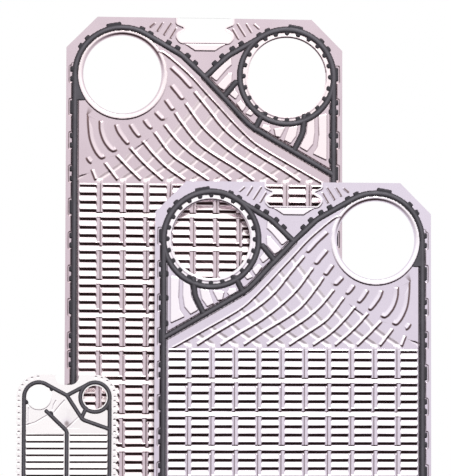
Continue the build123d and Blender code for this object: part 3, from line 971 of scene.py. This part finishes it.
def stainless(name, sunk, dark, light, painted_highlight, smooth, rough):
    """Pressed stainless: metal with faint rolling streaks, haze and fine grain. The mesh's tone, its painted
    light and shade, takes its colour from the painted shade colour sunk at 0 through dark and light at
    FLAT_TONE to the painted highlight colour at 1."""
    s = Shader(name)
    haze = s.noise(9.0, 4.0, 0.55)
    streak = s.noise(60.0, 3.0, 0.6, (14.0, 1.0, 0.6))
    grain = s.noise(900.0, 2.0, 0.6)
    tone = s.painted_light_and_shade()
    flat = s.blend(streak, s.blend(haze, dark, light, 0.35, 0.65), light, 0.25, 0.95)
    # painted shade below FLAT_TONE, painted highlight above it
    low_part = s.blend(tone, sunk, flat, 0.0, FLAT_TONE)
    s.join("Base Color", s.blend(tone, low_part, painted_highlight, FLAT_TONE, 1.0))
    s.join("Roughness", s.spread(haze, smooth, rough))
    s.set(Metallic=1.0)
    s.bumps((grain, 0.10, 0.0002), (streak, 0.05, 0.0002))
    return s.material


def rubber(name):
    """Moulded nitrile rubber: dark slate, satin, with a cloudy middle tone and a fine mould grain."""
    s = Shader(name)
    bloom = s.noise(26.0, 4.0, 0.6)
    grain = s.noise(1100.0, 2.0, 0.6)
    flow = s.noise(160.0, 3.0, 0.6)
    tone = s.painted_light_and_shade()
    middle = s.blend(bloom, (0.082, 0.078, 0.088), (0.125, 0.119, 0.136))
    # the mesh's tone paints a highlight along each band's middle and shade near black at its edges
    s.join("Base Color", s.blend(tone, (0.024, 0.022, 0.026), middle, 0.0, 1.0))
    s.join("Roughness", s.spread(flow, 0.40, 0.56))
    s.set(IOR=1.5, Specular_Tint=(0.84, 0.82, 0.92, 1.0), Sheen_Weight=0.08, Sheen_Roughness=0.5)
    s.bumps((grain, 0.15, 0.0003), (flow, 0.06, 0.0006))
    return s.material


# each steel's first colour is its painted shade and its last its painted highlight
LARGE_STEEL = stainless("pressed_stainless", sunk=(0.16, 0.11, 0.11), dark=(0.68, 0.62, 0.70),
                        light=(0.73, 0.67, 0.76), painted_highlight=(0.96, 0.91, 0.94), smooth=0.26, rough=0.34)
REAR_STEEL = stainless("pressed_stainless_warm", sunk=(0.17, 0.11, 0.11), dark=(0.61, 0.51, 0.555),
                       light=(0.66, 0.56, 0.605), painted_highlight=(0.93, 0.83, 0.84), smooth=0.27, rough=0.35)
SMALL_STEEL = stainless("pressed_stainless_small", sunk=(0.22, 0.16, 0.16), dark=(0.88, 0.84, 0.87),
                        light=(0.92, 0.88, 0.90), painted_highlight=(1.0, 0.98, 0.96), smooth=0.30, rough=0.38)
RUBBER = rubber("nitrile_rubber")

# ---- Pieces ----
FRONT = (160.0, -14.0, -296.0)
REAR = (0.0, 0.0, 0.0)
SMALL = (-246.0, -12.0, -644.0)
LOWER = LONG / 2


def from_end(function):
    """The same drawing at both ends of the large plate."""
    return lambda x, d: function(x, LOWER - np.abs(d - LOWER))


def down_sheet(function):
    """As from_end, while the washboard runs on down the sheet."""
    return lambda x, d: function(x, LOWER - np.abs(d - LOWER), d)


coarse = 1
plate = plan_mesh(down_sheet(large_height), from_end(large_edge), down_sheet(large_painted_light), WIDE, LONG,
                  step=1.4 * coarse, target=145000 // coarse ** 2, back_target=40000 // coarse ** 2)
gasket = plan_mesh(from_end(gasket_height), from_end(gasket_edge), from_end(gasket_painted_light), WIDE, LONG,
                   step=1.3 * coarse, target=70000 // coarse)
small_plate = plan_mesh(small_height, small_edge, small_painted_light, S_WIDE, S_LONG,
                        step=0.8 * coarse, target=90000 // coarse, back_target=30000 // coarse)
small_gasket = plan_mesh(small_gasket_height, small_gasket_edge, small_gasket_painted_light, S_WIDE, S_LONG,
                         step=0.7 * coarse, target=40000 // coarse)

raise_piece("rear_plate_pressing", plate, REAR, SHEET, REAR_STEEL, "rear_plate",
            mirrored=True)
raise_piece("front_plate_pressing", plate, FRONT, SHEET, LARGE_STEEL, "front_plate")
raise_piece("rear_gasket_moulding", gasket, REAR, GASKET_BACK, RUBBER, "rear_gasket",
            mirrored=True)
raise_piece("front_gasket_moulding", gasket, FRONT, GASKET_BACK, RUBBER, "front_gasket")
raise_piece("small_plate_pressing", small_plate, SMALL, S_SHEET, SMALL_STEEL, "small_plate")
raise_piece("small_gasket_moulding", small_gasket, SMALL, S_GASKET_BACK, RUBBER, "small_gasket")


# ---- Floor, light and camera ----
def camera_ray(tree):
    return add_node(tree, "LightPath").outputs["Is Camera Ray"]


def make_floor():
    """A pale floor well below the hanging plates. Only the camera sees it pale: it throws little light up,
    and the plates don't mirror it."""
    half, level = 6.0, -1.75
    mesh = bpy.data.meshes.new("studio_floor")
    mesh.from_pydata([(-half, -half, level), (half, -half, level), (half, half, level), (-half, half, level)],
                     [], [(0, 1, 2, 3)])
    floor = add_object("studio_floor", mesh)
    s = Shader("studio_floor")
    s.set(Roughness=0.9, Specular_IOR_Level=0.0)
    tone = s.noise(3.0, 2.0)
    pale = s.blend(tone, (0.86, 0.86, 0.87), (0.90, 0.90, 0.91))
    mix = s.blend(camera_ray(s.tree), (0.10, 0.075, 0.08), pale, 0.0, 1.0)
    s.join("Base Color", mix)
    mesh.materials.append(s.material)
    floor.visible_glossy = False


def make_world():
    """White to the camera. As light and in reflections it is white above, pale grey at eye level and nearly
    black steeply below, leaning a little to the right."""
    world = bpy.data.worlds.new("studio")
    bpy.context.scene.world = world
    world.use_nodes = True
    tree = world.node_tree
    tree.nodes.clear()
    direction = add_node(tree, "TexCoord").outputs["Generated"]
    lean = np.radians(4.0)
    dot = add_node(tree, "VectorMath")
    dot.operation = "DOT_PRODUCT"
    dot.inputs[1].default_value = (float(np.sin(lean)), 0.0, float(np.cos(lean)))
    tree.links.new(direction, dot.inputs[0])
    share = add_node(tree, "MapRange", From_Min=-1.0, Value=dot.outputs["Value"])
    graded = add_node(tree, "ValToRGB", Fac=share.outputs["Result"])
    stops = [(0.0, (0.030, 0.016, 0.018)), (0.12, (0.035, 0.018, 0.020)), (0.20, (0.22, 0.19, 0.21)),
             (0.30, (0.48, 0.44, 0.47)), (0.41, (0.60, 0.57, 0.60)), (0.46, (0.77, 0.75, 0.78)),
             (0.53, (0.83, 0.81, 0.84)), (0.60, (1.0, 1.0, 1.0)), (1.0, (1.0, 1.0, 1.0))]
    points = graded.color_ramp.elements
    while len(points) < len(stops):
        points.new(0.5)
    for point, (position, colour) in zip(points, stops):
        point.position = position
        point.color = (*colour, 1.0)
    light = add_node(tree, "Background", Color=graded.outputs["Color"], Strength=1.25)
    paper = add_node(tree, "Background", Color=(1.0, 1.0, 1.0, 1.0), Strength=1.0)
    mix = add_node(tree, "MixShader", Fac=camera_ray(tree))
    tree.links.new(light.outputs["Background"], mix.inputs[1])
    tree.links.new(paper.outputs["Background"], mix.inputs[2])
    add_node(tree, "OutputWorld", Surface=mix.outputs["Shader"])


def make_light(name, place, aim, size, power, colour):
    data = bpy.data.lights.new(name, "AREA")
    data.size = size
    data.energy = power
    data.color = colour
    lamp = add_object(name, data)
    lamp.location = place
    direction = Vector(aim) - Vector(place)
    lamp.rotation_euler = direction.to_track_quat("-Z", "Y").to_euler()


def make_camera():
    """A long lens aimed at the plates' upper ends from a little to the left and a little below."""
    seen_width, distance_m = 0.8115, 5.3
    aim = Vector((0.038, 0.0, -0.3972))
    yaw, pitch, roll = np.radians((5.6, 3.1, 0.16))
    data = bpy.data.cameras.new("camera")
    data.sensor_fit = "HORIZONTAL"
    data.sensor_width = 36.0
    data.lens = data.sensor_width * distance_m / seen_width
    data.clip_end = 60.0
    camera = add_object("camera", data)
    turn = Euler((np.pi / 2 + pitch, 0.0, -yaw)).to_matrix() @ Matrix.Rotation(roll, 3, "Z")
    camera.location = aim + turn @ Vector((0.0, 0.0, distance_m))
    camera.rotation_euler = turn.to_euler()
    bpy.context.scene.camera = camera


make_floor()
make_world()
make_light("key", (0.9, -1.6, 2.2), (0.0, 0.0, -0.4), 1.0, 45.0, (1.0, 0.99, 0.97))
make_camera()
bpy.context.scene.view_settings.view_transform = "Standard"
